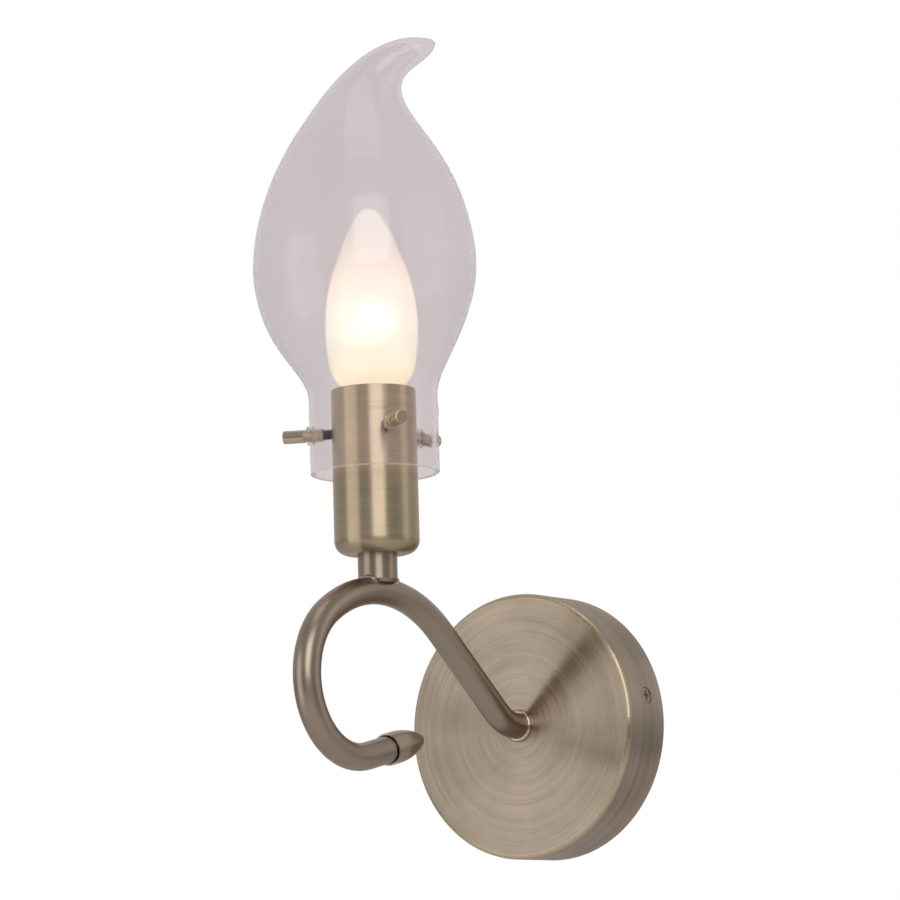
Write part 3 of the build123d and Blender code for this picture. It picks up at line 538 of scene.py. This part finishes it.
# Plastic, ceramic and insulation
dress(moulded("white_plastic", (0.7, 0.69, 0.65), rough=0.45), "terminal_block")
dress(moulded("black_plastic", (0.03, 0.03, 0.03), rough=0.4), "lampholder_base", "lampholder_shell")
dress(moulded("porcelain", (0.75, 0.73, 0.68), rough=0.25), "lampholder_disc")
dress(moulded("black_glass", (0.02, 0.02, 0.025), rough=0.1), "lamp_insulator")
dress(moulded("brown_insulation", (0.13, 0.055, 0.025), rough=0.5), "line_wire")
dress(moulded("blue_insulation", (0.02, 0.06, 0.3), rough=0.5), "neutral_wire")
dress(moulded("green_insulation", (0.1, 0.28, 0.03), rough=0.5), "earth_wire")

# Glass and clear plastic
dress(clear_glass("blown_glass", GLASS), "shade_glass")
dress(clear_glass("stem_glass", GLASS), "lamp_stem")
dress(milky_plastic("sleeve_plastic", SLEEVE), "shade_sleeve_1", "shade_sleeve_2", "shade_sleeve_3")
dress(glowing_glass("frosted_glass"), "lamp_envelope")


def braze_radius(share, side):
    """The bead's radius at a share of its length: lumpy, with one larger drop, and thin at both ends."""
    lump = 1 + BRAZE_LUMPS * lumps.noise(Vector((share * LUMP_ALONG, side * LUMP_SIDE, LUMP_START)))
    drop = 1 + DROP_SWELL * exp(-((share - DROP_PLACE) / DROP_WIDTH) ** 2)
    taper = min(1, sqrt(share / BRAZE_TAPER), sqrt((1 - share) / BRAZE_TAPER))
    return BRAZE_RADIUS * lump * drop * max(taper, BRAZE_TIP)


def braze_bead(name, side, metal):
    """Lumpy bead of braze along the line where the collar sits on the arm, on one side of the collar."""
    collar_low, collar_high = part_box("stem_collar")
    collar_radius = (collar_high[0] - collar_low[0]) / 2
    vertices = []
    for ring in range(BRAZE_RINGS + 1):
        share = ring / BRAZE_RINGS
        turn = asin(BRAZE_REACH * (2 * share - 1) / collar_radius)
        outward = Vector((sin(turn), side * cos(turn), 0))
        above_arm = Vector(lamp_foot) + outward * collar_radius
        above_arm.z = collar_high[2]
        _, seat, _, _ = nodes["arm_tube"].ray_cast(above_arm, Vector((0, 0, -1)))
        radius = braze_radius(share, side)
        for corner in range(BRAZE_SIDES):
            around = 2 * pi * corner / BRAZE_SIDES
            vertices.append(seat + outward * (radius * cos(around)) + Vector((0, 0, radius * sin(around))))
    faces = []
    for ring in range(BRAZE_RINGS):
        first = ring * BRAZE_SIDES
        second = first + BRAZE_SIDES
        for corner in range(BRAZE_SIDES):
            beside = (corner + 1) % BRAZE_SIDES
            faces.append((first + corner, first + beside, second + beside, second + corner))
    last = BRAZE_RINGS * BRAZE_SIDES
    faces.append(tuple(reversed(range(BRAZE_SIDES))))
    faces.append(tuple(range(last, last + BRAZE_SIDES)))
    mesh = bpy.data.meshes.new(name)
    mesh.from_pydata(vertices, [], faces)
    made = bmesh.new()
    made.from_mesh(mesh)
    bmesh.ops.recalc_face_normals(made, faces=made.faces)
    made.to_mesh(mesh)
    made.free()
    mesh.polygons.foreach_set("use_smooth", [True] * len(mesh.polygons))
    mesh.materials.append(metal)
    bead = bpy.data.objects.new(name, mesh)
    scene.collection.objects.link(bead)
    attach(bead, "fixture")


braze = satin_metal("braze", BRASS, rough=0.24, grain=1500, spread=0.3, relief=0.3)
braze_bead("braze_front", -1, braze)
braze_bead("braze_back", 1, braze)

# Camera at the photograph's viewing angle
azimuth, pitch, roll = (radians(angle) for angle in (CAMERA_AZIMUTH, CAMERA_PITCH, CAMERA_ROLL))
ahead = Vector((-sin(azimuth) * cos(pitch), cos(azimuth) * cos(pitch), sin(pitch)))
level_right = Vector((cos(azimuth), sin(azimuth), 0))
level_up = level_right.cross(ahead)
right = level_right * cos(roll) + level_up * sin(roll)
above = level_up * cos(roll) - level_right * sin(roll)
target = CAMERA_PIVOT + level_right * CAMERA_SIDE + Vector((0, 0, CAMERA_RISE))
camera = bpy.data.objects.new("camera", bpy.data.cameras.new("camera"))
camera.data.sensor_width = SENSOR_MM
camera.data.lens = FOCAL_PIXELS * SENSOR_MM / IMAGE_PIXELS
camera.data.clip_start = CAMERA_CLIP
turned_to_part = Matrix((right, above, -ahead)).transposed().to_4x4()
camera.matrix_world = Matrix.Translation(target - ahead * CAMERA_DISTANCE) @ turned_to_part
scene.collection.objects.link(camera)
scene.camera = camera


def softbox(name, turn, rise, distance, width, height, level):
    """Soft area light that faces the object, turned from the camera's side, with an even brightness."""
    swing = azimuth + radians(turn)
    tilt = radians(rise)
    way = Vector((sin(swing) * cos(tilt), -cos(swing) * cos(tilt), sin(tilt)))
    data = bpy.data.lights.new(name, "AREA")
    data.shape = "RECTANGLE"
    data.size = width
    data.size_y = height
    data.energy = level * pi * width * height
    lamp = bpy.data.objects.new(name, data)
    lamp.location = target + way * distance
    lamp.rotation_euler = way.to_track_quat("Z", "Y").to_euler()
    lamp.visible_camera = False
    scene.collection.objects.link(lamp)


softbox("front_light", turn=8, rise=21, distance=1.5, width=0.95, height=1.2, level=1.9)
softbox("left_light", turn=-65, rise=-2, distance=1.4, width=0.95, height=1.3, level=0.85)
softbox("right_light", turn=88, rise=12, distance=1.5, width=0.55, height=1.4, level=0.45)
softbox("top_light", turn=0, rise=78, distance=1.3, width=0.7, height=0.7, level=0.7)


def plain_background(tree, colour):
    """World background of one colour."""
    node = add(tree, "ShaderNodeBackground")
    node.inputs["Color"].default_value = (*colour, 1)
    return node.outputs[0]


def soft_room(tree):
    """World background that lights the object: darker round the camera, paler behind and above it."""
    direction = add(tree, "ShaderNodeTexCoord").outputs["Generated"]
    reach = []
    for way in (Vector((sin(azimuth), -cos(azimuth), 0)), level_right):
        product = add(tree, "ShaderNodeVectorMath", operation="DOT_PRODUCT")
        product.inputs[1].default_value = way
        put(tree, direction, product.inputs[0])
        reach.append(product.outputs["Value"])
    turned = maths(tree, "ABSOLUTE", maths(tree, "ARCTAN2", reach[1], reach[0]))
    colour = graded(tree, maths(tree, "DIVIDE", turned, pi), (
        (0.0, (0.4, 0.395, 0.385)),
        (0.28, (0.34, 0.335, 0.33)),
        (0.5, (0.42, 0.42, 0.415)),
        (0.66, (0.48, 0.47, 0.47)),
        (0.8, (0.52, 0.5, 0.505)),
        (0.9, (0.56, 0.53, 0.535)),
    ))
    levels = (ROOM_LOW, ROOM_LOW + ROOM_RISE)
    strength = between(tree, height_of(tree, direction), -ROOM_HORIZON, ROOM_HORIZON, levels)
    node = add(tree, "ShaderNodeBackground")
    put(tree, colour, node.inputs["Color"])
    put(tree, strength, node.inputs["Strength"])
    return node.outputs[0]


# Studio: white to the camera, the backdrop's colour through glass, and a soft room for all other rays
world = bpy.data.worlds.new("studio")
scene.world = world
world.use_nodes = True
studio = world.node_tree
studio.nodes.clear()
rays = add(studio, "ShaderNodeLightPath").outputs
through_glass = plain_background(studio, BACKDROP)
seen_through = either(studio, rays["Is Transmission Ray"], soft_room(studio), through_glass)
seen = either(studio, rays["Is Camera Ray"], seen_through, plain_background(studio, WHITE))
put(studio, seen, add(studio, "ShaderNodeOutputWorld").inputs["Surface"])
scene.cycles.max_bounces = 24
scene.cycles.glossy_bounces = 12
scene.cycles.transmission_bounces = 16

# Plain pale floor, well below the light
bpy.ops.mesh.primitive_grid_add(
    x_subdivisions=FLOOR_CELLS, y_subdivisions=FLOOR_CELLS, size=FLOOR_SIZE,
    location=(0, 0, cad_box[0][2] - FLOOR_DEPTH),
)
floor = bpy.context.object
floor.name = "floor"
floor.data.materials.append(pale_floor("pale_floor"))

scene.view_settings.view_transform = "Standard"
